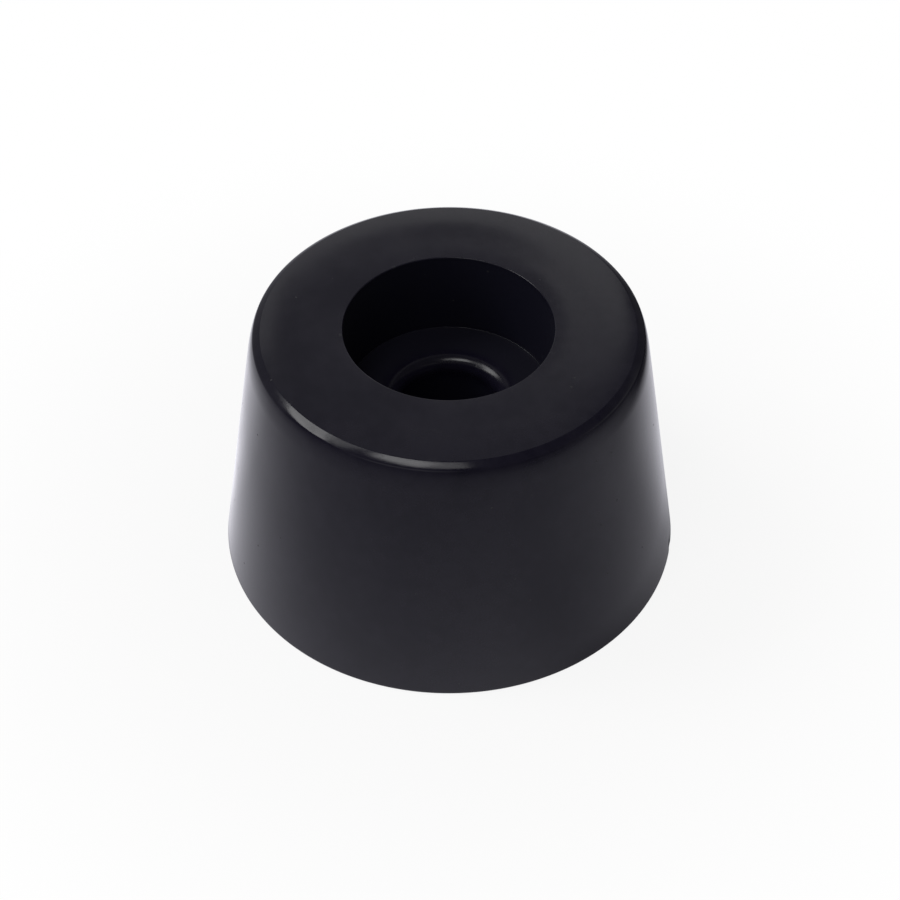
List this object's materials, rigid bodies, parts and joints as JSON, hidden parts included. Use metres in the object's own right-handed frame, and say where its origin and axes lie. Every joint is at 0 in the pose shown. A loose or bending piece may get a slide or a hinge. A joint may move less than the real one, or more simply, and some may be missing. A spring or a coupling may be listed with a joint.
{
  "type": "tapered screw-on foot",
  "caption": "Low tapered round plastic foot: wide flat mounting end, narrow tread with a rounded edge, deep round recess and a central through hole for one screw.",
  "frame": {"origin": "centre of the wide mounting face, on the axis of the screw hole", "axes": "+Z along the foot's axis, from the mounting face up to the tread and out of the recess; +X and +Y are free, because the foot is round"},
  "size_m": [0.025, 0.025, 0.0148],
  "materials": {
    "black_plastic": "satin as-moulded black"
  },
  "bodies": {
    "root": {"foot": "black_plastic"}
  },
  "joints": []
}
